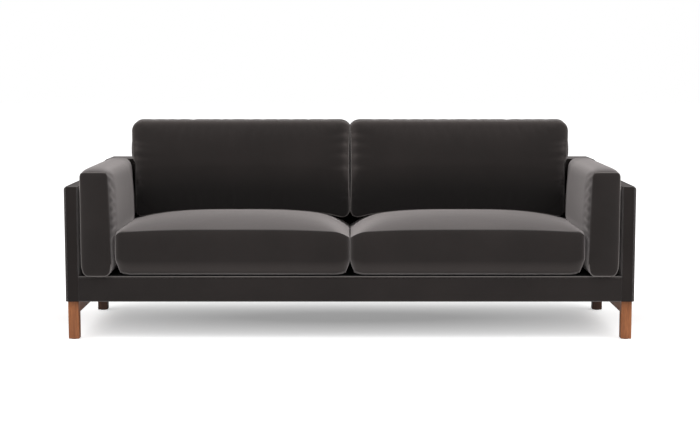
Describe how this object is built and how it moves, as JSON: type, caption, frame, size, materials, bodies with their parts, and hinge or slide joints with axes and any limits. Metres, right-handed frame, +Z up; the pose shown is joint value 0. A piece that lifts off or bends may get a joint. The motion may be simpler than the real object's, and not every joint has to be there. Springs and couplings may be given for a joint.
{
  "type": "tuxedo sofa",
  "caption": "Sofa with a thin upholstered shell on square wooden legs, boxed arm pads and loose lift-off seat and back cushions.",
  "frame": {"origin": "on the floor, under the middle of the sofa's box", "axes": "+Z up, +X along the sofa to its right as seen from the front, the front faces -Y"},
  "size_m": [2.2, 0.86, 0.8283],
  "materials": {
    "velvet": "matte",
    "walnut": "satin",
    "timber": "matte",
    "plywood": "matte",
    "steel": "satin",
    "glide_plastic": "matte",
    "black_cloth": "matte",
    "wadding": "matte",
    "foam": "matte"
  },
  "bodies": {
    "sofa_frame": {"front_left_leg": "walnut", "front_right_leg": "walnut", "rear_left_leg": "walnut", "rear_right_leg": "walnut", "left_leg_rail": "walnut", "right_leg_rail": "walnut", "leg_dowels": "timber", "floor_glides": "glide_plastic", "leg_bolts": "steel", "leg_inserts": "steel", "front_rail": "timber", "spring_rail": "timber", "rear_rail": "timber", "left_side_rail": "timber", "right_side_rail": "timber", "centre_rail": "timber", "corner_blocks": "timber", "seat_springs": "steel", "spring_clips": "steel", "deck_pad": "wadding", "deck_cloth": "black_cloth", "base_front_pad": "wadding", "base_front_cover": "velvet", "dust_cover": "black_cloth", "left_shell_board": "plywood", "right_shell_board": "plywood", "back_shell_board": "plywood", "shell_padding": "wadding", "left_shell_cover": "velvet", "right_shell_cover": "velvet", "back_shell_cover": "velvet", "frame_bolts": "steel", "shell_screws": "steel", "arm_boards": "plywood", "arm_foams": "foam", "left_arm_cover": "velvet", "right_arm_cover": "velvet", "back_rails": "timber", "back_posts": "timber", "back_springs": "steel", "back_foam": "foam", "back_cover": "velvet"},
    "left_seat_cushion": {"left_seat_cover": "velvet", "left_seat_wrap": "wadding", "left_seat_core": "foam", "left_seat_zip": "black_cloth"},
    "left_seat_pull": {"left_seat_zip_pull": "steel"},
    "left_back_cushion": {"left_back_cover": "velvet", "left_back_insert": "wadding", "left_back_zip": "black_cloth"},
    "left_back_pull": {"left_back_zip_pull": "steel"},
    "right_seat_cushion": {"right_seat_cover": "velvet", "right_seat_wrap": "wadding", "right_seat_core": "foam", "right_seat_zip": "black_cloth"},
    "right_seat_pull": {"right_seat_zip_pull": "steel"},
    "right_back_cushion": {"right_back_cover": "velvet", "right_back_insert": "wadding", "right_back_zip": "black_cloth"},
    "right_back_pull": {"right_back_zip_pull": "steel"}
  },
  "joints": [
    {"name": "left_seat_lift", "type": "slide", "parent": "sofa_frame", "child": "left_seat_cushion", "axis": [0, 0, 1], "range_m": [0, 0.25]},
    {"name": "left_back_lift", "type": "slide", "parent": "left_seat_cushion", "child": "left_back_cushion", "axis": [0, 0, 1], "range_m": [0, 0.3]},
    {"name": "left_seat_zip_run", "type": "slide", "parent": "left_seat_cushion", "child": "left_seat_pull", "axis": [-1, 0, 0], "range_m": [0, 0.7]},
    {"name": "left_back_zip_run", "type": "slide", "parent": "left_back_cushion", "child": "left_back_pull", "axis": [-1, 0, 0], "range_m": [0, 0.7]},
    {"name": "right_seat_lift", "type": "slide", "parent": "sofa_frame", "child": "right_seat_cushion", "axis": [0, 0, 1], "range_m": [0, 0.25]},
    {"name": "right_back_lift", "type": "slide", "parent": "right_seat_cushion", "child": "right_back_cushion", "axis": [0, 0, 1], "range_m": [0, 0.3]},
    {"name": "right_seat_zip_run", "type": "slide", "parent": "right_seat_cushion", "child": "right_seat_pull", "axis": [1, 0, 0], "range_m": [0, 0.7]},
    {"name": "right_back_zip_run", "type": "slide", "parent": "right_back_cushion", "child": "right_back_pull", "axis": [1, 0, 0], "range_m": [0, 0.7]}
  ]
}
